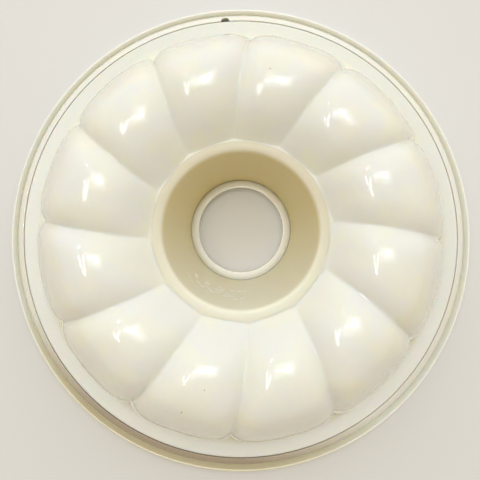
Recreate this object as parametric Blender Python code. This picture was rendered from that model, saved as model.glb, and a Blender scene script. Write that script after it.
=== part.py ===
"""Ring jelly mould: a swirled ring of twelve lobes that stands on its annular base lid.

Metres, +Z up. The origin is on the ring's axis, at the level of the surface that the lid stands on.
The two pieces are the mould, one thin shell, and the lid that closes its mouth. Both are turned
round the same axis, and the mould lifts straight off the lid.
"""
import bmesh
import bpy
from math import cos, hypot, pi, radians, sin, tan

# Clearances between the two pieces: where one rests on or turns in the other, and round the rib
FIT_GAP = 0.0003
RIB_PLAY = 0.0006

# Walls
MOULD_WALL = 0.0018
LID_WALL = 0.0018

# Lobes of the mould and the swirl of the valleys between them, angles from +X counter-clockwise
LOBES = 12
VALLEY_ANGLE = radians(-3.5)
SWIRL = radians(8.8)
SWIRL_EASE = 1.6

# Cross-section of a lobe: a higher power gives a flatter back and rounder flanks
SWELL_POWER_AT_FOOT = 4.0
SWELL_POWER_AT_CREST = 2.2

# Flange round the mouth of the mould
FLANGE_RADIUS = 0.1130
FLANGE_WIDTH = 0.0076
FLANGE_EDGE_ROUND = 0.0012
FLANGE_EDGE_CHAMFER = 0.0005
FOOT_FILLET = 0.0016

# Ridge line of a lobe, heights above the flange's underside: wall, shoulder, crest and brow
RIDGE_DRAFT = radians(19)
RIDGE_WALL_REACH = 0.040
RIDGE_SHOULDER_REACH = 0.0245
CREST_RADIUS = 0.066
CREST_HEIGHT = 0.0645
RIDGE_BROW_REACH = 0.014
RIDGE_COLLAR_SLOPE = radians(45)
RIDGE_COLLAR_REACH = 0.010

# Valley line between two lobes, inside the ridge line by the depth of the fluting
FOOT_SCALLOP = 0.0014
CREST_SCALLOP = 0.0055
COLLAR_SCALLOP = 0.0010
VALLEY_DRAFT = radians(20)
VALLEY_WALL_REACH = 0.037
VALLEY_SHOULDER_REACH = 0.0210
VALLEY_BROW_REACH = 0.012
VALLEY_COLLAR_SLOPE = radians(30)
VALLEY_COLLAR_REACH = 0.008

# Collar, its drop below the crest, and the tapered centre tube
COLLAR_DROP = 0.0145
COLLAR_WIDTH = 0.0048
COLLAR_ROUND = 0.0040
TUBE_TOP_RADIUS = 0.0345
TUBE_END_RADIUS = 0.0260

# Rim of the lid: ledge under the flange, shoulder, fold and lip, heights above the floor
LEDGE_HEIGHT = 0.0052
LEDGE_INSET = 0.0025
SHOULDER_CORNER = 0.0035
FOLD_OFFSET = 0.0051
LIP_OFFSET = 0.0019
LIP_HEIGHT = 0.0062
LIP_WALL = 0.0010
LIP_FOOT_INSET = 0.0010

# Locating rib that stands up inside the mouth
RIB_RISE = 0.0030
RIB_WALL = 0.0018

# Boss under the tube's end, and the collar that stands up in the tube round the through-hole
BOSS_MARGIN = 0.0012
BOSS_DRAFT = 0.0012
HOLE_COLLAR_RISE = 0.0028
HOLE_COLLAR_FOOT = 0.0038
HOLE_COLLAR_TOP = 0.0018
HOLE_EDGE_ROUND = 0.0004

# Hanging hole through the lid's shoulder, half of it under the flange's edge
HANG_HOLE_ANGLE = radians(94.3)
HANG_HOLE_OUTSET = 0.0003
HANG_HOLE_RADIUS = 0.0022

# Fineness of the meshes
SEGMENTS_PER_LOBE = 8
LID_SEGMENTS = 72
HOLE_SEGMENTS = 16
WALL_STEPS = 9
BROW_STEPS = 6
ROUND_STEPS = 4
FILLET_STEPS = 3
SMOOTH_BELOW = radians(30)

# Finish of the two plastics, colours linear
MOULD_COLOUR = (0.82, 0.78, 0.62, 1.0)
LID_COLOUR = (0.80, 0.76, 0.60, 1.0)
MOULD_ROUGHNESS = 0.22
LID_ROUGHNESS = 0.28

# Sizes that follow from those above
RIDGE_FOOT_RADIUS = FLANGE_RADIUS - FLANGE_WIDTH
VALLEY_FOOT_RADIUS = RIDGE_FOOT_RADIUS - FOOT_SCALLOP
COLLAR_HEIGHT = CREST_HEIGHT - COLLAR_DROP
RIDGE_COLLAR_RADIUS = TUBE_TOP_RADIUS + COLLAR_WIDTH
VALLEY_COLLAR_RADIUS = RIDGE_COLLAR_RADIUS + COLLAR_SCALLOP
FOLD_RADIUS = FLANGE_RADIUS + FOLD_OFFSET
LIP_RADIUS = FOLD_RADIUS + LIP_OFFSET
HOLE_RADIUS = TUBE_END_RADIUS - FIT_GAP - HOLE_COLLAR_FOOT


def step(point, angle, length):
    """The point at a length from another, its angle measured up from the outward direction."""
    return (point[0] + length * cos(angle), point[1] + length * sin(angle))


def arc(centre, radius, start, end, count):
    """Points on a circle in the plane of a section, both ends included."""
    return [step(centre, start + (end - start) * i / count, radius) for i in range(count + 1)]


def blend(weights, points):
    """Weighted sum of points of a section."""
    return tuple(sum(w * point[axis] for w, point in zip(weights, points)) for axis in (0, 1))


def cubic(p0, p1, p2, p3, count):
    """Points on a cubic curve, without its first one."""
    points = []
    for i in range(1, count + 1):
        t = i / count
        s = 1 - t
        points.append(blend((s ** 3, 3 * s * s * t, 3 * s * t * t, t ** 3), (p0, p1, p2, p3)))
    return points


def rounded_corner(before, corner, after, count):
    """Points on a quadratic curve that rounds a corner, both ends included."""
    points = []
    for i in range(count + 1):
        t = i / count
        s = 1 - t
        points.append(blend((s * s, 2 * s * t, t * t), (before, corner, after)))
    return points


def thickened(line, wall):
    """The inner line, one wall under an outer line that runs inwards and then down the tube."""
    normals = []
    for a, b in zip(line, line[1:]):
        length = hypot(b[0] - a[0], b[1] - a[1])
        normals.append(((a[1] - b[1]) / length, (b[0] - a[0]) / length))
    inner = []
    for point, before, after in zip(line, normals[:1] + normals, normals + normals[-1:]):
        middle = blend((0.5, 0.5), (before, after))
        reach = wall / (middle[0] ** 2 + middle[1] ** 2)
        inner.append((point[0] + middle[0] * reach, point[1] + middle[1] * reach))
    return inner


def lobe_line(foot, draft, wall_reach, shoulder_reach, crest, brow_reach,
              collar_edge, collar_slope, collar_reach):
    """Outer line from the flange over the crest to the collar: fillet, wall, shoulder and brow."""
    wall_angle = pi / 2 + draft
    wall_start = step(foot, wall_angle, FOOT_FILLET)
    line = rounded_corner(step(foot, 0, FOOT_FILLET), foot, wall_start, FILLET_STEPS)
    line += cubic(wall_start, step(wall_start, wall_angle, wall_reach),
                  step(crest, 0, shoulder_reach), crest, WALL_STEPS)
    line += cubic(crest, step(crest, pi, brow_reach),
                  step(collar_edge, collar_slope, collar_reach), collar_edge, BROW_STEPS)
    return line


def ridge_line():
    return lobe_line((RIDGE_FOOT_RADIUS, MOULD_WALL), RIDGE_DRAFT, RIDGE_WALL_REACH,
                     RIDGE_SHOULDER_REACH, (CREST_RADIUS, CREST_HEIGHT), RIDGE_BROW_REACH,
                     (RIDGE_COLLAR_RADIUS, COLLAR_HEIGHT), RIDGE_COLLAR_SLOPE, RIDGE_COLLAR_REACH)


def valley_line():
    crest = (CREST_RADIUS, CREST_HEIGHT - CREST_SCALLOP)
    return lobe_line((VALLEY_FOOT_RADIUS, MOULD_WALL), VALLEY_DRAFT, VALLEY_WALL_REACH,
                     VALLEY_SHOULDER_REACH, crest, VALLEY_BROW_REACH,
                     (VALLEY_COLLAR_RADIUS, COLLAR_HEIGHT), VALLEY_COLLAR_SLOPE,
                     VALLEY_COLLAR_REACH)


def tube_line():
    """Rounded inner edge of the collar, and the straight taper down to the tube's end."""
    top = (TUBE_TOP_RADIUS, COLLAR_HEIGHT)
    end = (TUBE_END_RADIUS, 0.0)
    share = COLLAR_ROUND / hypot(top[0] - end[0], top[1] - end[1])
    taper_start = blend((1 - share, share), (top, end))
    middle = blend((0.5, 0.5), (taper_start, end))
    return rounded_corner(step(top, 0, COLLAR_ROUND), top, taper_start, ROUND_STEPS) + [middle, end]


def flange_edge_line():
    """Rounded edge of the flange, from its underside up to its flat top."""
    centre = (FLANGE_RADIUS - FLANGE_EDGE_ROUND, MOULD_WALL - FLANGE_EDGE_ROUND)
    edge = [(FLANGE_RADIUS - FLANGE_EDGE_CHAMFER, 0.0)]
    return edge + arc(centre, FLANGE_EDGE_ROUND, 0.0, pi / 2, ROUND_STEPS)


def swirl_at(radius):
    """Turn of the lobes at a radius, slow at the foot and steady towards the collar."""
    share = (RIDGE_FOOT_RADIUS - radius) / (RIDGE_FOOT_RADIUS - RIDGE_COLLAR_RADIUS)
    return SWIRL * min(max(share, 0.0), 1.0) ** SWIRL_EASE


def swell(position, radius):
    """Height of a lobe's cross-section at a radius, from 0 in a valley to 1 on the ridge."""
    share = (RIDGE_FOOT_RADIUS - radius) / (RIDGE_FOOT_RADIUS - CREST_RADIUS)
    share = min(max(share, 0.0), 1.0)
    power = SWELL_POWER_AT_FOOT + (SWELL_POWER_AT_CREST - SWELL_POWER_AT_FOOT) * share
    return 1 - abs(2 * position - 1) ** power


def lobed_ring(bm, ridge, valley):
    """One ring of the mould through a point of the ridge line and its fellow of the valley line."""
    count = LOBES * SEGMENTS_PER_LOBE
    ring = []
    for i in range(count):
        share = swell(i % SEGMENTS_PER_LOBE / SEGMENTS_PER_LOBE, valley[0])
        radius, height = blend((share, 1 - share), (ridge, valley))
        angle = VALLEY_ANGLE + swirl_at(valley[0]) + 2 * pi * i / count
        ring.append(bm.verts.new((radius * cos(angle), radius * sin(angle), height)))
    return ring


def skin_through_rings(bm, rings):
    """Closed skin of four-sided faces through a cycle of rings."""
    for ring, following in zip(rings, rings[1:] + rings[:1]):
        for i in range(len(ring)):
            bm.faces.new((ring[i - 1], ring[i], following[i], following[i - 1]))
    bmesh.ops.recalc_face_normals(bm, faces=bm.faces)


def plastic(name, colour, roughness):
    material = bpy.data.materials.new(name)
    material.use_nodes = True
    shader = material.node_tree.nodes["Principled BSDF"]
    shader.inputs["Base Color"].default_value = colour
    shader.inputs["Roughness"].default_value = roughness
    shader.inputs["Metallic"].default_value = 0.0
    return material


def add_piece(name, bm, material):
    """Object from a finished mesh, shaded smooth but for its sharp corners."""
    mesh = bpy.data.meshes.new(name)
    bm.to_mesh(mesh)
    bm.free()
    mesh.shade_smooth()
    mesh.set_sharp_from_angle(angle=SMOOTH_BELOW)
    mesh.materials.append(material)
    piece = bpy.data.objects.new(name, mesh)
    bpy.context.scene.collection.objects.link(piece)
    return piece


def make_mould_body():
    """One-piece shell of flange, lobes, collar and centre tube, resting on the lid's ledge."""
    ridge = ridge_line() + tube_line()
    valley = valley_line() + tube_line()
    ridge_inside = thickened(ridge, MOULD_WALL)
    valley_inside = thickened(valley, MOULD_WALL)
    for inside in (ridge_inside, valley_inside):
        inside[-1] = (inside[-1][0], 0.0)
    edge = flange_edge_line()
    section = list(zip(edge, edge)) + list(zip(ridge, valley))
    section += reversed(list(zip(ridge_inside, valley_inside)))
    bm = bmesh.new()
    skin_through_rings(bm, [lobed_ring(bm, *pair) for pair in section])
    mould = add_piece("mould_body", bm, plastic("mould_plastic", MOULD_COLOUR, MOULD_ROUGHNESS))
    mould.location = (0.0, 0.0, LEDGE_HEIGHT + FIT_GAP)
    return mould


def rib_radius():
    """Outer radius of the rib, clear of the narrowest place inside the mouth at the rib's top."""
    wall_inside = VALLEY_FOOT_RADIUS - MOULD_WALL / cos(VALLEY_DRAFT)
    return wall_inside - RIB_RISE * tan(VALLEY_DRAFT) - RIB_PLAY


def lid_rim_line():
    """Top line of the lid's rim: lip, fold, shoulder and the outer end of the ledge."""
    lip_centre = (LIP_RADIUS - LIP_WALL / 2, LIP_HEIGHT - LIP_WALL / 2)
    fold = (FOLD_RADIUS, LID_WALL)
    shoulder_corner = (FOLD_RADIUS - SHOULDER_CORNER, LEDGE_HEIGHT)
    ledge_end = (FLANGE_RADIUS - LEDGE_INSET, LEDGE_HEIGHT)
    return (arc(lip_centre, LIP_WALL / 2, 0.0, pi, ROUND_STEPS)
            + rounded_corner(fold, shoulder_corner, ledge_end, ROUND_STEPS))


def hole_collar_line():
    """Outer flank and rounded top of the collar, down into the through-hole."""
    top = LEDGE_HEIGHT + HOLE_COLLAR_RISE
    foot = (HOLE_RADIUS + HOLE_COLLAR_FOOT, LEDGE_HEIGHT)
    line = rounded_corner(foot, (HOLE_RADIUS + HOLE_COLLAR_TOP, top),
                          (HOLE_RADIUS + HOLE_EDGE_ROUND, top), ROUND_STEPS)
    return line + [(HOLE_RADIUS, top - HOLE_EDGE_ROUND)]


def lid_section():
    """Closed outline of the lid's section, from the lip inwards over the top and back below."""
    rib = rib_radius()
    rib_top = LEDGE_HEIGHT + RIB_RISE
    boss = TUBE_END_RADIUS + MOULD_WALL + BOSS_MARGIN
    above = lid_rim_line()
    above += [(rib, LEDGE_HEIGHT), (rib, rib_top), (rib - RIB_WALL, rib_top)]
    above += [(rib - RIB_WALL, LID_WALL), (boss + BOSS_DRAFT, LID_WALL), (boss, LEDGE_HEIGHT)]
    above += hole_collar_line()
    hollow_top = LEDGE_HEIGHT - LID_WALL
    below = [(HOLE_RADIUS, 0.0), (HOLE_RADIUS + LID_WALL, 0.0)]
    below += [(HOLE_RADIUS + LID_WALL, hollow_top), (boss - LID_WALL, hollow_top)]
    below += [(boss + BOSS_DRAFT - LID_WALL, 0.0), (rib, 0.0), (rib, hollow_top)]
    below += rounded_corner((FLANGE_RADIUS - LEDGE_INSET, hollow_top),
                            (FOLD_RADIUS - SHOULDER_CORNER, hollow_top),
                            (FOLD_RADIUS - LID_WALL, 0.0), FILLET_STEPS)
    below += [(LIP_RADIUS - LIP_FOOT_INSET, 0.0)]
    return above + below


def hang_hole_cutter():
    distance = FLANGE_RADIUS + HANG_HOLE_OUTSET
    bpy.ops.mesh.primitive_cylinder_add(
        vertices=HOLE_SEGMENTS, radius=HANG_HOLE_RADIUS, depth=4 * LEDGE_HEIGHT,
        location=(distance * cos(HANG_HOLE_ANGLE), distance * sin(HANG_HOLE_ANGLE), 0.0))
    cutter = bpy.context.object
    cutter.name = "hanging_hole_cutter"
    cutter.hide_render = True
    cutter.display_type = "WIRE"
    return cutter


def make_base_lid():
    """Annular lid spun round the axis, with the hanging hole cut through its shoulder."""
    bm = bmesh.new()
    verts = [bm.verts.new((radius, 0.0, height)) for radius, height in lid_section()]
    edges = [bm.edges.new(ends) for ends in zip(verts, verts[1:] + verts[:1])]
    bmesh.ops.spin(bm, geom=verts + edges, cent=(0, 0, 0), axis=(0, 0, 1), angle=2 * pi,
                   steps=LID_SEGMENTS, use_merge=True)
    bmesh.ops.recalc_face_normals(bm, faces=bm.faces)
    lid = add_piece("base_lid", bm, plastic("lid_plastic", LID_COLOUR, LID_ROUGHNESS))
    hole = lid.modifiers.new("hanging_hole", "BOOLEAN")
    hole.operation = "DIFFERENCE"
    hole.object = hang_hole_cutter()
    return lid


def main():
    for old in list(bpy.data.objects):
        bpy.data.objects.remove(old, do_unlink=True)
    make_base_lid()
    make_mould_body()


main()
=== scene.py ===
# %% [markdown]
# # A ring jelly mould on its lid
# The object is a household jelly mould of ivory plastic: a ring of twelve swirled lobes that
# stands, mouth down, on a shallow annular lid. Each of the two pieces is one moulding, so each of
# them is modelled here as one closed mesh.
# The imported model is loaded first. It gives the sizes, and the two bodies that the pieces ride on.

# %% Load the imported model
from math import atan2, cos, degrees, hypot, pi, radians, sin

import bmesh
import bpy
import numpy as np
from mathutils import Matrix, Vector


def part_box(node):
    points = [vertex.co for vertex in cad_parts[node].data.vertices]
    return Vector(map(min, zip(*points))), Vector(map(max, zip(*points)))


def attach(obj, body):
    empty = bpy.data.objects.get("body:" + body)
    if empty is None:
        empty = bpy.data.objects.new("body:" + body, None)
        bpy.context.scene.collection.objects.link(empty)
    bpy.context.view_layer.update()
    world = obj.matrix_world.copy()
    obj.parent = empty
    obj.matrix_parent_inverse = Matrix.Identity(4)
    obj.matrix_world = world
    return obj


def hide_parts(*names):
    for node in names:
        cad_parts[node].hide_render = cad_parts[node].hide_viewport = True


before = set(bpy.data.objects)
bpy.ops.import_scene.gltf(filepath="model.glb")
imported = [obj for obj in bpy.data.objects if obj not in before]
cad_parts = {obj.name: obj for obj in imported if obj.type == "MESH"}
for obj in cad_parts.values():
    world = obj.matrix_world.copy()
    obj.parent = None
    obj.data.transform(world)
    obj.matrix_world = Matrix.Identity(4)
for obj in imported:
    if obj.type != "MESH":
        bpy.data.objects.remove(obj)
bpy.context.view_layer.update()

# %% [markdown]
# ## The camera
# The photograph looks straight down the centre hole from about 30 cm. The axis of the ring lands a
# little below the middle of the picture, so the camera stands on the axis, tips by a few degrees
# and shifts the picture up by the rest. Distance and lens were found from two circles of known
# height, the lid's lip and its hole: only one distance lets both come out at the right size.

# %% Camera on the ring's axis
CAMERA_HEIGHT = 0.304
CAMERA_TILT = radians(6.72)
LENS_MM = 42.375
bpy.ops.object.select_all(action="DESELECT")
bpy.ops.object.camera_add(location=(0.0, 0.0, CAMERA_HEIGHT), rotation=(CAMERA_TILT, 0.0, 0.0))
camera = bpy.context.object
camera.name = "camera"
camera.data.lens = LENS_MM
camera.data.shift_x = -0.00167
camera.data.shift_y = -0.1604
camera.data.clip_start = 0.01
bpy.context.scene.camera = camera
print("camera %.0f mm above the table, tipped %.1f degrees" % (CAMERA_HEIGHT * 1000, degrees(CAMERA_TILT)))

# %% [markdown]
# ## Light and table
# The object stands in a plain room with its brighter side behind it. Gloss needs something to
# mirror, so the light comes from lamps with a size. A ceiling lamp a little behind the object
# leaves a small white patch on the crown of every lobe. Two narrow ones beside it leave the thin
# broken streaks left of each patch. A broad soft one behind carries most of the light, with a weak
# one at the right front to help it. These two stay out of the reflections, where their outlines
# would show. The world fills the shadows: dim and warm in front, brighter and cooler behind, which
# its background mixes by direction.

# %% Colour management and world
scene = bpy.context.scene
scene.view_settings.view_transform = "Standard"
world = bpy.data.worlds.new("room_light")
world.use_nodes = True
scene.world = world
sky = world.node_tree
direction = sky.nodes.new("ShaderNodeTexCoord").outputs["Generated"]
parts = sky.nodes.new("ShaderNodeSeparateXYZ")
behind = sky.nodes.new("ShaderNodeMapRange")
behind.interpolation_type = "SMOOTHSTEP"
behind.inputs["From Min"].default_value = -0.3
behind.inputs["From Max"].default_value = 0.9
room = sky.nodes.new("ShaderNodeMix")
room.data_type = "RGBA"
room.inputs[6].default_value = (0.46, 0.38, 0.26, 1.0)
room.inputs[7].default_value = (1.00, 1.00, 1.00, 1.0)
sky.links.new(direction, parts.inputs[0])
sky.links.new(parts.outputs["Y"], behind.inputs["Value"])
sky.links.new(behind.outputs["Result"], room.inputs[0])
sky.links.new(room.outputs[2], sky.nodes["Background"].inputs["Color"])


# %% Lamps
OBJECT = Vector((0.0, 0.0, 0.05))


def add_lamp(name, place, size, watts, lean=0.0, colour=(1.0, 1.0, 1.0)):
    """Adds a rectangular lamp that faces the object, its width along X and its height along Y."""
    bpy.ops.object.light_add(type="AREA", location=place)
    lamp = bpy.context.object
    lamp.name = name
    lamp.data.shape = "RECTANGLE"
    lamp.data.size, lamp.data.size_y = size
    lamp.data.energy = watts
    lamp.data.color = colour
    back = (Vector(place) - OBJECT).normalized()
    side = Vector((0.0, 1.0, 0.0)).cross(back).normalized()
    facing = Matrix((side, back.cross(side), back)).transposed()
    lamp.rotation_euler = (facing @ Matrix.Rotation(radians(lean), 3, "Z")).to_euler()
    return lamp


COOL_WHITE = (0.92, 0.97, 1.0)
add_lamp("ceiling_lamp", (0.10, 0.42, 1.58), (0.30, 0.34), 1.5, colour=COOL_WHITE)
add_lamp("ceiling_lamp_left", (-0.20, 0.38, 1.58), (0.22, 0.10), 0.4)
add_lamp("ceiling_patch", (0.05, 0.40, 1.62), (0.8, 0.66), 3.2, colour=COOL_WHITE)
for lamp in (add_lamp("soft_lamp", (0.04, 0.82, 1.42), (2.6, 0.9), 5.7),
             add_lamp("soft_lamp_right", (1.10, -0.45, 1.00), (0.8, 0.8), 0.9)):
    lamp.visible_glossy = False
add_lamp("streak_lamp_front", (-0.47, 0.08, 1.52), (0.028, 0.62), 1.5, -9)
add_lamp("streak_lamp_side", (-0.61, 0.08, 1.48), (0.022, 0.52), 0.9, 10)
add_lamp("streak_lamp_back", (-0.52, 0.90, 1.34), (0.024, 0.26), 0.4)

# %% Table
bpy.ops.object.select_all(action="DESELECT")
bpy.ops.mesh.primitive_plane_add(size=4.0, location=(0.0, 0.0, 0.0))
table = bpy.context.object
table.name = "table"
table_finish = bpy.data.materials.new("pale_table")
table_finish.use_nodes = True
table_finish.node_tree.nodes["Principled BSDF"].inputs["Base Color"].default_value = (0.72, 0.72, 0.71, 1.0)
table_finish.node_tree.nodes["Principled BSDF"].inputs["Roughness"].default_value = 0.7
table.data.materials.append(table_finish)

# %% [markdown]
# ## Working ring by ring
# Both pieces are built as a potter would throw them: a circle is laid down at the rim, then
# extruded again and again, and each new ring is scaled about the axis and lifted to its place on
# the section. The two helpers below do just that, for whatever ring is selected.


# %% Helpers for rings
def start_ring(name, vertices, radius, height):
    """Adds a circle at its size and place and goes into edit mode with all of it selected."""
    bpy.ops.object.select_all(action="DESELECT")
    bpy.ops.mesh.primitive_circle_add(vertices=vertices, radius=radius, location=(0.0, 0.0, height))
    piece = bpy.context.object
    piece.name = name
    piece.data.name = name
    bpy.ops.object.transform_apply(location=True, rotation=False, scale=False)
    bpy.ops.object.mode_set(mode="EDIT")
    bpy.ops.mesh.select_all(action="SELECT")
    return piece


def move_selected(scale, lift):
    """Scales the selection about the axis and lifts it."""
    bpy.ops.transform.resize(value=(scale, scale, 1.0), center_override=(0.0, 0.0, 0.0))
    bpy.ops.transform.translate(value=(0.0, 0.0, lift))


def select_numbered(piece, numbers):
    """Selects just the vertices of these numbers, and the edges that join them."""
    bpy.ops.mesh.select_all(action="DESELECT")
    mesh = bmesh.from_edit_mesh(piece.data)
    mesh.verts.ensure_lookup_table()
    for number in numbers:
        mesh.verts[number].select_set(True)
    mesh.select_flush(True)
    bmesh.update_edit_mesh(piece.data)


# %% [markdown]
# ## The mould's section
# A lobe is drawn by two lines. The ridge line runs over its back, the valley line down the groove
# beside it, and every other line of the lobe lies between the two. Both are cubic curves: up the
# drafted wall, round the shoulder to the crest, and down the brow to the collar.
# A subdivision surface pulls in from its cage. Along a smooth row of points it passes through one
# sixth of the point before, four sixths of the point itself and one sixth of the point after, so
# the cage is pushed out by what is missing until the finished surface runs through the drawn line.

# %% Ridge line and valley line
MOULD_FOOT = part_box("mould_body")[0][2]
WALL = 0.0018
FLANGE_RADIUS = 0.1130
FOOT_RADIUS = 0.1054
CREST_RADIUS = 0.066
COLLAR_RADIUS = 0.0393


def cubic(p0, p1, p2, p3, shares):
    """Points on a cubic curve at the given shares of its way."""
    t = np.array(shares)[:, None]
    s = 1 - t
    return s ** 3 * p0 + 3 * s * s * t * p1 + 3 * s * t * t * p2 + t ** 3 * p3


def section_line(foot, draft, wall_reach, shoulder_reach, crest, brow_reach, collar, slope, collar_reach):
    """Radius and height of one line of a lobe, from its foot to the collar."""
    foot, crest, collar = (np.array(p) for p in (foot, crest, collar))
    up_the_wall = np.array([-sin(draft), cos(draft)])
    wall = cubic(foot, foot + wall_reach * up_the_wall, crest + (shoulder_reach, 0.0), crest, WALL_SHARES)
    up_the_brow = np.array([cos(slope), sin(slope)])
    brow = cubic(crest, crest - (brow_reach, 0.0), collar + collar_reach * up_the_brow, collar, BROW_SHARES)
    return np.vstack([wall, brow])


WALL_SHARES = [0.0, 0.014, 0.045, 0.12, 0.24, 0.38, 0.53, 0.69, 0.84, 1.0]
BROW_SHARES = [0.28, 0.54, 0.78, 1.0]
ridge = section_line((FOOT_RADIUS, WALL), radians(19), 0.0400, 0.0225, (CREST_RADIUS, 0.06449), 0.0128,
                     (COLLAR_RADIUS, 0.0498), radians(45), 0.010)
valley = section_line((0.1024, WALL), radians(19), 0.0375, 0.0200, (CREST_RADIUS, 0.0594), 0.0118,
                      (0.0405, 0.0498), radians(32), 0.008)
crest_heights = (ridge[9, 1] * 1e3, valley[9, 1] * 1e3)
print("ridge crest %.1f mm, valley crest %.1f mm above the flange" % crest_heights)


# %% Cage that stands proud of a smooth row of points
def cage_through(points, first, last):
    """Pushes the cage out, from point first to point last, until the surface meets the points."""
    cage = points.copy()
    for _ in range(60):
        surface = (np.roll(cage, 1, axis=0) + 4 * cage + np.roll(cage, -1, axis=0)) / 6
        cage[first:last + 1] += (points - surface)[first:last + 1]
    return cage


flange = np.array([[FLANGE_RADIUS, WALL], [0.1081, WALL]])
ridge_cage = cage_through(np.vstack([flange, [[0.1068, WALL]], ridge]), 5, 15)
valley_cage = cage_through(np.vstack([flange, [[0.1038, WALL]], valley]), 5, 15)
tube = np.array([[0.0386, 0.0504], [0.0356, 0.0503], [0.0346, 0.0499], [0.0342, 0.0484], [0.0338, 0.0462],
                 [0.0269, 0.0050], [0.0260, 0.0012], [0.0260, 0.0]])
ridge_cage = np.vstack([ridge_cage, tube]) + (0.0, MOULD_FOOT)
valley_cage = np.vstack([valley_cage, tube]) + (0.0, MOULD_FOOT)
print("rings in the cage:", len(ridge_cage))

# %% [markdown]
# ## Lobes and swirl
# Across a lobe the height follows a power curve: nearly flat on the back, then falling into the
# groove, and more suddenly at the foot than on the crest. Ten columns carry it. They stand close
# together beside the groove, where the surface turns quickly, and far apart on the back. Their
# places on a circle and their weights are pushed out like the lines above, now round a closed row.
# Each ring is also turned a little against the one before, slowly at the foot and faster towards
# the collar, which gives the grooves their swirl.

# %% Columns, turn and swell of a ring
LOBES = 12
COLUMNS = 10
RING = LOBES * COLUMNS
VALLEY_ANGLE = radians(-3.5)
SWIRL = radians(8.8)
# How far across each column stands: 1 in the valley, 0 on the ridge.
ACROSS = np.array([1.0, 0.95, 0.84, 0.64, 0.35, 0.0, 0.35, 0.64, 0.84, 0.95])
GROOVE_ROUND = 0.07


def way_in(radius, end):
    """Share of the way from the foot to another radius, between 0 and 1."""
    return min(max((FOOT_RADIUS - radius) / (FOOT_RADIUS - end), 0.0), 1.0)


def turn_at(radius):
    """How far a ring of this radius is turned against the foot."""
    return SWIRL * way_in(radius, COLLAR_RADIUS) ** 1.6


def column_weights(radius):
    """How far each column of a lobe stands out from valley (0) to ridge (1)."""
    power = 9.0 - 6.5 * way_in(radius, CREST_RADIUS)
    return cage_through(np.maximum(1 - ACROSS ** power, GROOVE_ROUND), 0, COLUMNS - 1)


def columns_on_circle(shares):
    """Cage columns, as complex numbers, whose surface meets a unit circle at these shares of a lobe."""
    lobe = np.exp(2j * pi / LOBES)
    points = lobe ** shares
    cage = points.copy()
    for _ in range(60):
        before = np.append(cage[-1] / lobe, cage[:-1])
        after = np.append(cage[1:], cage[0] * lobe)
        cage += points - (before + 4 * cage + after) / 6
    return cage


even = np.arange(COLUMNS) / COLUMNS
standing = np.where(even < 0.5, 1 - ACROSS, 1 + ACROSS) / 2
column_places = columns_on_circle(standing)
column_share = np.angle(column_places) * LOBES / (2 * pi)
column_reach = np.abs(column_places)
print("weights across a lobe at the crest:", np.round(column_weights(CREST_RADIUS), 2))
print("columns at", np.round(column_share * 360 / LOBES, 1), "degrees")


# %% Extrude the mould ring by ring
def newest_columns(piece, turn, standing):
    """Numbers of the newest ring's vertices, sorted by the column of the lobe that stands nearest."""
    mesh = bmesh.from_edit_mesh(piece.data)
    mesh.verts.ensure_lookup_table()
    columns = [[] for _ in range(COLUMNS)]
    for vert in mesh.verts[-RING:]:
        place = (atan2(vert.co.y, vert.co.x) - VALLEY_ANGLE - turn) * LOBES / (2 * pi)
        away = np.abs((standing - place + 0.5) % 1.0 - 0.5)
        columns[int(np.argmin(away))].append(vert.index)
    return columns


def turn_selected(angle):
    """Turns the selection about the axis, counter-clockwise seen from above."""
    bpy.ops.transform.rotate(value=-angle, orient_axis="Z", center_override=(0.0, 0.0, 0.0))


mould = start_ring("mould_shell", RING, *ridge_cage[0])
turn_selected(VALLEY_ANGLE)
for numbers, shift in zip(newest_columns(mould, 0.0, even), column_share - even):
    select_numbered(mould, numbers)
    turn_selected(shift * 2 * pi / LOBES)
bpy.ops.mesh.select_all(action="SELECT")
turn = 0.0
places = [tuple(ridge_cage[0])] * (COLUMNS // 2 + 1)
rings = []
for step, (ridge_point, valley_point) in enumerate(zip(ridge_cage, valley_cage)):
    if step:
        bpy.ops.mesh.extrude_region_move()
        turn_selected(turn_at(valley_point[0]) - turn)
        turn = turn_at(valley_point[0])
    columns = newest_columns(mould, turn, column_share)
    weights = column_weights(valley_point[0])
    for column, (old_radius, old_height) in enumerate(places):
        radius, height = weights[column] * ridge_point + (1 - weights[column]) * valley_point
        radius *= column_reach[column]
        twins = columns[column] + (columns[-column] if column % (COLUMNS // 2) else [])
        select_numbered(mould, twins)
        move_selected(radius / old_radius, height - old_height)
        places[column] = (radius, height)
    rings.append([number for column in columns for number in column])
    select_numbered(mould, rings[-1])
print("cage of", len(rings), "rings,", len(bmesh.from_edit_mesh(mould.data).verts), "vertices")

# %% [markdown]
# ## From cage to shell
# The inner edge of the lobes is a crease: a sharp line that the subdivision keeps. It then gets a
# small bevel, because no mould is cut with a perfectly sharp edge, and the tiny round catches the
# light. The rest of the cage becomes one smooth skin.
# A moulding shrinks unevenly as it cools, so its backs are never quite true. A Displace modifier
# with a soft cloud texture lowers them here and there by a tenth of a millimetre or two, only on
# the lobes. That is too little to see as shape, but it bends every highlight.
# The Solidify modifier gives the skin its wall, inwards, so the outside stays where it was drawn.

# %% Crease the edge of the collar
COLLAR_EDGE = 16
select_numbered(mould, rings[COLLAR_EDGE])
bpy.ops.transform.edge_crease(value=1.0)
bpy.ops.object.mode_set(mode="OBJECT")
print("creased edges:", sum(c.value > 0.5 for c in mould.data.attributes["crease_edge"].data))


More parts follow.
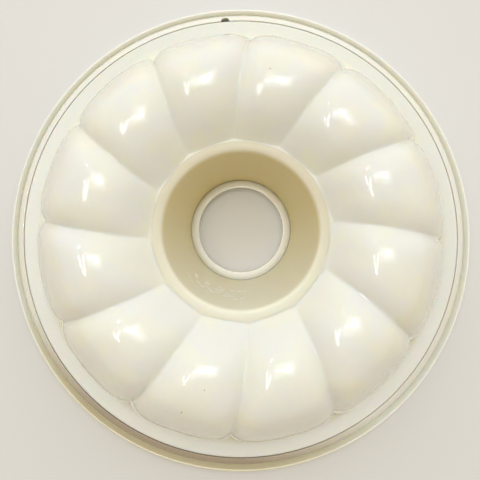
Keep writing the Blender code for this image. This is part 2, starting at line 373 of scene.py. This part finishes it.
# %% Subdivide
def apply_modifier(piece, kind, **settings):
    """Adds a modifier, sets it and applies it."""
    bpy.context.view_layer.objects.active = piece
    modifier = piece.modifiers.new(kind.lower(), kind)
    for name, value in settings.items():
        setattr(modifier, name, value)
    bpy.ops.object.modifier_apply(modifier=modifier.name)
    print("%s: %d faces after %s" % (piece.name, len(piece.data.polygons), kind.lower()))


apply_modifier(mould, "SUBSURF", levels=2, render_levels=2)


# %% Round the crease
def select_edges(piece, test):
    """Selects the edges of a mesh in edit mode whose two ends pass a test."""
    bpy.ops.mesh.select_mode(type="EDGE")
    bpy.ops.mesh.select_all(action="DESELECT")
    mesh = bmesh.from_edit_mesh(piece.data)
    picked = [edge for edge in mesh.edges if test(edge)]
    for edge in picked:
        edge.select_set(True)
    bmesh.update_edit_mesh(piece.data)
    return len(picked)


def select_vertices(piece, test):
    """Selects the vertices of a mesh in edit mode that pass a test."""
    bpy.ops.mesh.select_all(action="DESELECT")
    mesh = bmesh.from_edit_mesh(piece.data)
    picked = [vert for vert in mesh.verts if test(vert)]
    for vert in picked:
        vert.select_set(True)
    mesh.select_flush(True)
    bmesh.update_edit_mesh(piece.data)
    return len(picked)


creases = {e for e, c in enumerate(mould.data.attributes["crease_edge"].data) if c.value > 0.5}
print("fine creases", len(creases))
bpy.ops.object.mode_set(mode="EDIT")
select_edges(mould, lambda edge: edge.index in creases)
bpy.ops.mesh.bevel(offset=0.0003, segments=3, affect="EDGES")
bpy.ops.mesh.select_all(action="SELECT")
bpy.ops.mesh.flip_normals()
bpy.ops.mesh.select_all(action="DESELECT")
bpy.ops.object.mode_set(mode="OBJECT")
top = max(mould.data.polygons, key=lambda face: face.center.z)
print("the crest's normal points %s" % ("up" if top.normal.z > 0 else "down"))

# %% Let the backs of the lobes wave
mould.vertex_groups.new(name="lobes")
bpy.ops.object.mode_set(mode="EDIT")
bpy.ops.mesh.select_mode(type="VERT")
count = select_vertices(mould, lambda v: 0.043 < hypot(v.co.x, v.co.y) < 0.100)
bpy.ops.object.vertex_group_assign()
bpy.ops.object.mode_set(mode="WEIGHT_PAINT")
bpy.ops.object.vertex_group_smooth(group_select_mode="ALL", factor=0.5, repeat=12)
bpy.ops.object.mode_set(mode="OBJECT")
clouds = bpy.data.textures.new("sink_marks", "CLOUDS")
clouds.noise_scale = 0.016
clouds.noise_depth = 1
apply_modifier(mould, "DISPLACE", texture=clouds, texture_coords="LOCAL", strength=0.00055, mid_level=0.72,
               vertex_group="lobes")
print("%d vertices wave; top now at %.2f mm" % (count, max(v.co.z for v in mould.data.vertices) * 1e3))

# %% Give the skin its wall
apply_modifier(mould, "SOLIDIFY", thickness=WALL, offset=-1.0, use_quality_normals=True)
bpy.ops.object.shade_smooth_by_angle(angle=radians(32))

# %% Round the rims of the mould
def on_ring(edge, radius, height):
    """True if both ends of an edge lie on a circle round the axis."""
    return all(abs(hypot(v.co.x, v.co.y) - radius) < 0.00012 and abs(v.co.z - height) < 0.00002
               for v in edge.verts)


def round_ring(piece, radius, height, width, segments):
    """Bevels the circular corner of a piece at a radius and a height."""
    bpy.ops.object.select_all(action="DESELECT")
    bpy.context.view_layer.objects.active = piece
    bpy.ops.object.mode_set(mode="EDIT")
    count = select_edges(piece, lambda edge: on_ring(edge, radius, height))
    bpy.ops.mesh.bevel(offset=width, segments=segments, affect="EDGES")
    bpy.ops.object.mode_set(mode="OBJECT")
    print("rounded %d edges at radius %.1f, height %.1f mm" % (count, radius * 1e3, height * 1e3))


round_ring(mould, FLANGE_RADIUS, MOULD_FOOT + WALL, 0.0010, 4)
round_ring(mould, FLANGE_RADIUS, MOULD_FOOT, 0.0004, 2)
bpy.ops.object.select_all(action="DESELECT")
mould.select_set(True)
bpy.context.view_layer.objects.active = mould
bpy.ops.object.shade_smooth_by_angle(angle=radians(32))

# %% [markdown]
# ## The lid
# The lid is turned, so it is a plain section all round: a thin lip, a fold, a rounded shoulder, the
# ledge under the flange, a rib that keeps the mould in the middle, a floor plate, and a boss with a
# collar round the hole. The rings follow that section over the top and back below, and the last
# one is merged with the first, which closes the skin.

# %% Extrude the lid ring by ring
LID_RING = 240
LID_SECTION = [  # radius and height in millimetres
    (119.0, 0.0), (120.0, 6.2), (119.0, 6.2), (118.1, 1.8),  # outer lip and fold
    (116.3, 6.3), (113.4, 6.9), (113.3, 5.2), (106.0, 5.2), (100.4, 5.2),  # shoulder and ledge
    (100.4, 8.2), (98.6, 8.2), (98.6, 1.8), (60.0, 1.8), (30.2, 1.8),  # rib and floor
    (29.0, 5.2), (25.93, 5.2), (25.93, 5.9), (23.7, 8.0), (21.9, 8.0),  # boss and collar
    (21.9, 0.0), (23.7, 0.0), (23.7, 3.4), (27.2, 3.4), (28.4, 0.0),  # hole, and below the boss
    (60.0, 0.0), (100.4, 0.0), (100.4, 3.4), (106.0, 3.4), (113.4, 3.4), (116.3, 0.0), (119.0, 0.0)]
LID_SECTION = [(radius / 1000, height / 1000) for radius, height in LID_SECTION]
lid = start_ring("lid_disc", LID_RING, *LID_SECTION[0])
for (old_radius, old_height), (radius, height) in zip(LID_SECTION, LID_SECTION[1:]):
    bpy.ops.mesh.extrude_region_move()
    move_selected(radius / old_radius, height - old_height)
bpy.ops.mesh.select_all(action="SELECT")
bpy.ops.mesh.remove_doubles(threshold=0.00001)
bpy.ops.mesh.normals_make_consistent(inside=False)
bpy.ops.object.mode_set(mode="OBJECT")
print("lid:", len(lid.data.polygons), "faces")

# %% Round the lid's corners
LID_ROUNDS = [  # radius and height of the corner, width of its round, all in millimetres, segments
    (120.0, 6.2, 0.45, 4), (119.0, 6.2, 0.45, 4), (118.1, 1.8, 0.3, 3),
    (116.3, 6.3, 2.4, 12), (113.4, 6.9, 0.25, 3), (100.4, 5.2, 0.4, 3),
    (100.4, 8.2, 0.5, 4), (98.6, 8.2, 0.5, 4), (98.6, 1.8, 0.8, 4), (30.2, 1.8, 0.8, 4),
    (29.0, 5.2, 0.8, 4), (25.93, 5.9, 0.3, 3), (23.7, 8.0, 1.3, 6), (21.9, 8.0, 0.4, 4),
    (21.9, 0.0, 0.3, 2), (119.0, 0.0, 0.3, 2), (116.3, 0.0, 0.3, 2)]
for radius, height, width, segments in LID_ROUNDS:
    round_ring(lid, radius / 1000, height / 1000, width / 1000, segments)

# %% [markdown]
# ## The hanging hole
# A small hole goes through the lid's shoulder, half of it under the mould's flange, so that the
# lid can hang on a hook. It is drilled with a Boolean: a cylinder is set in place, cut away from
# the lid and deleted.

# %% Drill the hanging hole
HANG_ANGLE = radians(94.3)
HANG_DISTANCE = 0.1133
HANG_RADIUS = 0.0022
bpy.ops.object.select_all(action="DESELECT")
hang_place = (HANG_DISTANCE * cos(HANG_ANGLE), HANG_DISTANCE * sin(HANG_ANGLE), 0.0)
bpy.ops.mesh.primitive_cylinder_add(vertices=48, radius=HANG_RADIUS, depth=0.03, location=hang_place)
drill = bpy.context.object
apply_modifier(lid, "BOOLEAN", operation="DIFFERENCE", object=drill, solver="EXACT")
bpy.data.objects.remove(drill)
bpy.ops.object.select_all(action="DESELECT")
lid.select_set(True)
bpy.context.view_layer.objects.active = lid
bpy.ops.object.shade_smooth_by_angle(angle=radians(32))


# %% [markdown]
# ## Ivory plastic
# Mould and lid are old ivory plastic, a little translucent and still glossy. Light goes a few
# millimetres into it, which is the subsurface part of the shader. Its surface answers twice: a
# hazy sheen from the body, and on top of it a sharp one that draws the lamps as small crisp
# patches. The coat of the shader gives the sharp one.
# The colour is never quite even, and drifts between cream and a cooler white every centimetre or
# two. The Object coordinates of the mesh carry the pattern, so it stays put on the piece: noise for
# the drift, and the distance from the axis for where on the piece a place is.

# %% Helpers for materials
def add_node(tree, kind, inputs=(), **settings):
    """Adds a node to a material, sets it, and fills its inputs from values or other sockets."""
    node = tree.nodes.new(kind)
    for name, value in settings.items():
        setattr(node, name, value)
    for name, value in dict(inputs).items():
        if isinstance(value, bpy.types.NodeSocket):
            tree.links.new(value, node.inputs[name])
        else:
            node.inputs[name].default_value = value
    return node


def add_noise(tree, place, scale, detail=2.0, roughness=0.5):
    """Noise at a scale in features per metre."""
    node = add_node(tree, "ShaderNodeTexNoise", {"Vector": place, "Scale": scale, "Detail": detail,
                                                 "Roughness": roughness})
    return node.outputs["Fac"]


def blend_colours(tree, share, first, second):
    """Colour between two colours, each a value or a socket."""
    node = add_node(tree, "ShaderNodeMix", data_type="RGBA")
    for socket, value in ((node.inputs[0], share), (node.inputs[6], first), (node.inputs[7], second)):
        if isinstance(value, bpy.types.NodeSocket):
            tree.links.new(value, socket)
        else:
            socket.default_value = value
    return node.outputs[2]


def spread(tree, value, low, high, to_low=0.0, to_high=1.0):
    """Maps a value from one range to another, and stops at its ends."""
    node = add_node(tree, "ShaderNodeMapRange", {"Value": value, "From Min": low, "From Max": high,
                                                 "To Min": to_low, "To Max": to_high})
    return node.outputs["Result"]


def times(tree, first, second):
    """Product of two numbers, each a value or a socket."""
    return add_node(tree, "ShaderNodeMath", {0: first, 1: second}, operation="MULTIPLY").outputs[0]


def on_plan(tree, place):
    """Place with its height left out."""
    node = add_node(tree, "ShaderNodeVectorMath", {0: place, 1: (1.0, 1.0, 0.0)}, operation="MULTIPLY")
    return node.outputs[0]


def ring_mask(tree, radius, inner, outer, soft):
    """1 between two distances from the axis, falling to 0 over a soft width outside them."""
    rise = spread(tree, radius, inner - soft, inner)
    fall = spread(tree, radius, outer, outer + soft, 1.0, 0.0)
    return times(tree, rise, fall)


def cream(red, green, blue):
    """Colour with full opacity."""
    return (red, green, blue, 1.0)


# %% Start of a plastic
def start_plastic(name):
    """Material with a hazy body under a sharp coat, and the sockets that its colour is built from."""
    material = bpy.data.materials.new(name)
    material.use_nodes = True
    tree = material.node_tree
    shader = tree.nodes["Principled BSDF"]
    shader.inputs["IOR"].default_value = 1.5
    shader.inputs["Subsurface Weight"].default_value = 0.35
    shader.inputs["Subsurface Radius"].default_value = (1.0, 0.55, 0.22)
    shader.inputs["Subsurface Scale"].default_value = 0.005
    shader.inputs["Roughness"].default_value = 0.25
    shader.inputs["Specular IOR Level"].default_value = 0.3
    shader.inputs["Coat Weight"].default_value = 1.0
    shader.inputs["Coat Roughness"].default_value = 0.045
    place = add_node(tree, "ShaderNodeTexCoord").outputs["Object"]
    from_axis = add_node(tree, "ShaderNodeVectorMath", {0: on_plan(tree, place)}, operation="LENGTH")
    return material, tree, shader, place, from_axis.outputs["Value"]


def finish_plastic(tree, shader, place, colour, wavy):
    """Links the colour, and lets the surface wave and ripple where a mask says so."""
    tree.links.new(colour, shader.inputs["Base Color"])
    ripples = add_noise(tree, place, 260.0, 1.0)
    waves = add_noise(tree, place, 85.0, 1.0)
    both = add_node(tree, "ShaderNodeMath", {0: ripples, 1: 0.33, 2: waves}, operation="MULTIPLY_ADD")
    height = times(tree, both.outputs[0], wavy)
    bump = add_node(tree, "ShaderNodeBump", {"Height": height, "Strength": 1.0, "Distance": 0.00012})
    for socket in ("Normal", "Coat Normal"):
        tree.links.new(bump.outputs["Normal"], shader.inputs[socket])


# %% [markdown]
# The colour of the mould is built up in layers: the drift first, then a painted reflection that makes the
# crowns a cooler grey, painted warm light that makes the walls a warmer cream, then the flange, the beige
# collar and the tube. The last three carry painted shade: darker towards the back of the ring, and the tube
# also browner there, where its wall faces away from the light. Each layer is a mask and a colour, blended
# over the one before, as a painter glazes.
# Three specks of dirt were moulded in. Down in the tube, where knives loosened many a jelly, there are
# short scratches, and their glints are painted in as white dashes: real scratches, with a painted
# highlight. For these the wall is unrolled, with the angle round the axis as one coordinate and the height
# as the other, and a stretched Voronoi pattern strews dashes over it.
# The sharp sheen and the tiny waves are left to the lobes: flange and tube have gone dull.

# %% Plastic of the mould
material, tree, shader, place, radius = start_plastic("ivory_mould")
drift = spread(tree, add_noise(tree, place, 60.0, 2.0), 0.43, 0.56)
colour = blend_colours(tree, drift, cream(0.865, 0.83, 0.695), cream(0.83, 0.805, 0.75))
# Painted reflection: the crowns turn a cooler grey, as if they mirrored the cool light overhead.
painted_crown_reflection = ring_mask(tree, radius, 0.048, 0.068, 0.014)
colour = blend_colours(tree, times(tree, painted_crown_reflection, 0.5), colour, cream(0.82, 0.81, 0.76))
# Painted warm light: the outer walls of the lobes are made a warmer cream, as if lit warm from the room.
wall = ring_mask(tree, radius, 0.086, 0.106, 0.010)
colour = blend_colours(tree, times(tree, wall, 0.45), colour, cream(0.87, 0.83, 0.68))
axes = add_node(tree, "ShaderNodeSeparateXYZ", {0: place}).outputs
# Painted shade: the flange is made darker towards the back of the ring.
to_back = spread(tree, axes["Y"], -0.10, 0.10)
flange_with_painted_shade = blend_colours(tree, to_back, cream(0.93, 0.91, 0.86), cream(0.77, 0.765, 0.70))
colour = blend_colours(tree, spread(tree, radius, 0.1045, 0.1070), colour, flange_with_painted_shade)
# Painted shade: collar and tube are darker towards the back of the ring, and the tube's back wall a shaded
# brownish tan where it faces away from the light.
tube_to_back = spread(tree, axes["Y"], -0.033, 0.013)
collar_with_painted_shade = blend_colours(tree, tube_to_back, cream(0.84, 0.81, 0.68), cream(0.70, 0.645, 0.50))
colour = blend_colours(tree, ring_mask(tree, radius, 0.0348, 0.0388, 0.0006), colour, collar_with_painted_shade)
tube_with_painted_shade = blend_colours(tree, tube_to_back, cream(0.82, 0.79, 0.64), cream(0.78, 0.66, 0.35))
colour = blend_colours(tree, spread(tree, radius, 0.0348, 0.0340), colour, tube_with_painted_shade)

# %% Specks, and scratches with painted glints
SPECKS = ((0.0125, 0.0683, 0.0002), (-0.0144, -0.0636, 0.0001), (-0.0238, -0.0728, 0.0002))  # x, y, radius
TUBE_RADIUS = 0.033
plan = on_plan(tree, place)
for x, y, size in SPECKS:
    away = add_node(tree, "ShaderNodeVectorMath", {0: plan, 1: (x, y, 0.0)}, operation="DISTANCE")
    speck = spread(tree, away.outputs["Value"], size + 0.0003, size)
    colour = blend_colours(tree, speck, colour, cream(0.48, 0.41, 0.30))
angle = add_node(tree, "ShaderNodeMath", {0: axes["Y"], 1: axes["X"]}, operation="ARCTAN2").outputs[0]
round_the_tube = times(tree, angle, TUBE_RADIUS)
unrolled = add_node(tree, "ShaderNodeCombineXYZ", {"X": round_the_tube, "Y": axes["Z"]}).outputs[0]
stretched = add_node(tree, "ShaderNodeMapping", {"Vector": unrolled, "Rotation": (0.0, 0.0, radians(12)),
                                                 "Scale": (150.0, 330.0, 1.0)}).outputs[0]
dashes = add_node(tree, "ShaderNodeTexVoronoi", {"Vector": stretched, "Scale": 1.0},
                  voronoi_dimensions="2D")
# Scratches with painted glints: white dashes paint the highlights on real scratches low in the tube.
scratches_and_glints = spread(tree, dashes.outputs["Distance"], 0.16, 0.26, 1.0, 0.0)
low_in_tube = ring_mask(tree, axes["Z"], 0.026, 0.040, 0.003)
in_front = ring_mask(tree, angle, radians(-136), radians(-90), radians(6))
in_tube = spread(tree, radius, 0.0345, 0.0340)
for mask in (low_in_tube, in_front, in_tube):
    scratches_and_glints = times(tree, scratches_and_glints, mask)
colour = blend_colours(tree, scratches_and_glints, colour, cream(1.0, 1.0, 0.98))
finish_plastic(tree, shader, place, colour, ring_mask(tree, radius, 0.052, 0.086, 0.010))
tree.links.new(ring_mask(tree, radius, 0.042, 0.098, 0.004), shader.inputs["Coat Weight"])
mould.data.materials.append(material)

# %% [markdown]
# The lid is the same plastic. Painted light makes the fold a little paler than the shoulder, a painted
# highlight makes the edge of the lip paler still, and painted light whitens the collar round the hole. At
# the front left painted shade darkens the shoulder to a grey brown and the lip to an olive, where they face
# away from the light. Which side a place is on comes from the dot product of its coordinates with a
# direction.

# %% Plastic of the lid
material, tree, shader, place, radius = start_plastic("ivory_lid")
drift = spread(tree, add_noise(tree, place, 30.0, 3.0), 0.40, 0.62)
colour = blend_colours(tree, drift, cream(0.85, 0.83, 0.73), cream(0.84, 0.83, 0.77))
# Painted light: the fold is made a little paler, against the shade in its groove.
fold_painted_light = ring_mask(tree, radius, 0.1172, 0.1183, 0.0004)
colour = blend_colours(tree, fold_painted_light, colour, cream(0.86, 0.86, 0.77))
# Painted highlight: the outer edge of the lip is made paler still.
colour = blend_colours(tree, spread(tree, radius, 0.1183, 0.1187), colour, cream(0.88, 0.88, 0.83))
# Painted shade: at the front left the shoulder is darkened to a grey brown and the lip to an olive, where
# they face away from the light.
to_front = add_node(tree, "ShaderNodeVectorMath", {0: place, 1: (0.3, 0.95, 0.0)}, operation="DOT_PRODUCT")
at_front = spread(tree, to_front.outputs["Value"], -0.07, -0.108)
on_rim = spread(tree, radius, 0.1120, 0.1130)
on_lip = spread(tree, radius, 0.1172, 0.1180)
painted_shade_brown = blend_colours(tree, on_lip, cream(0.44, 0.38, 0.30), cream(0.78, 0.73, 0.55))
colour = blend_colours(tree, times(tree, at_front, on_rim), colour, painted_shade_brown)
# Painted light: the collar round the hole is made whiter than the rest of the lid.
colour = blend_colours(tree, spread(tree, radius, 0.0262, 0.0250), colour, cream(0.93, 0.93, 0.91))
finish_plastic(tree, shader, place, colour, 0.4)
lid.data.materials.append(material)

# %% [markdown]
# ## Joining the frame
# Each piece rides on the body that it belongs to and stands for the plain solid of the same piece.

# %% Ride and replace
for piece, body, node, slot in ((mould, "mould", "mould_body", "mould_plastic"),
                                (lid, "lid", "base_lid", "lid_plastic")):
    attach(piece, body)
    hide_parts(node)
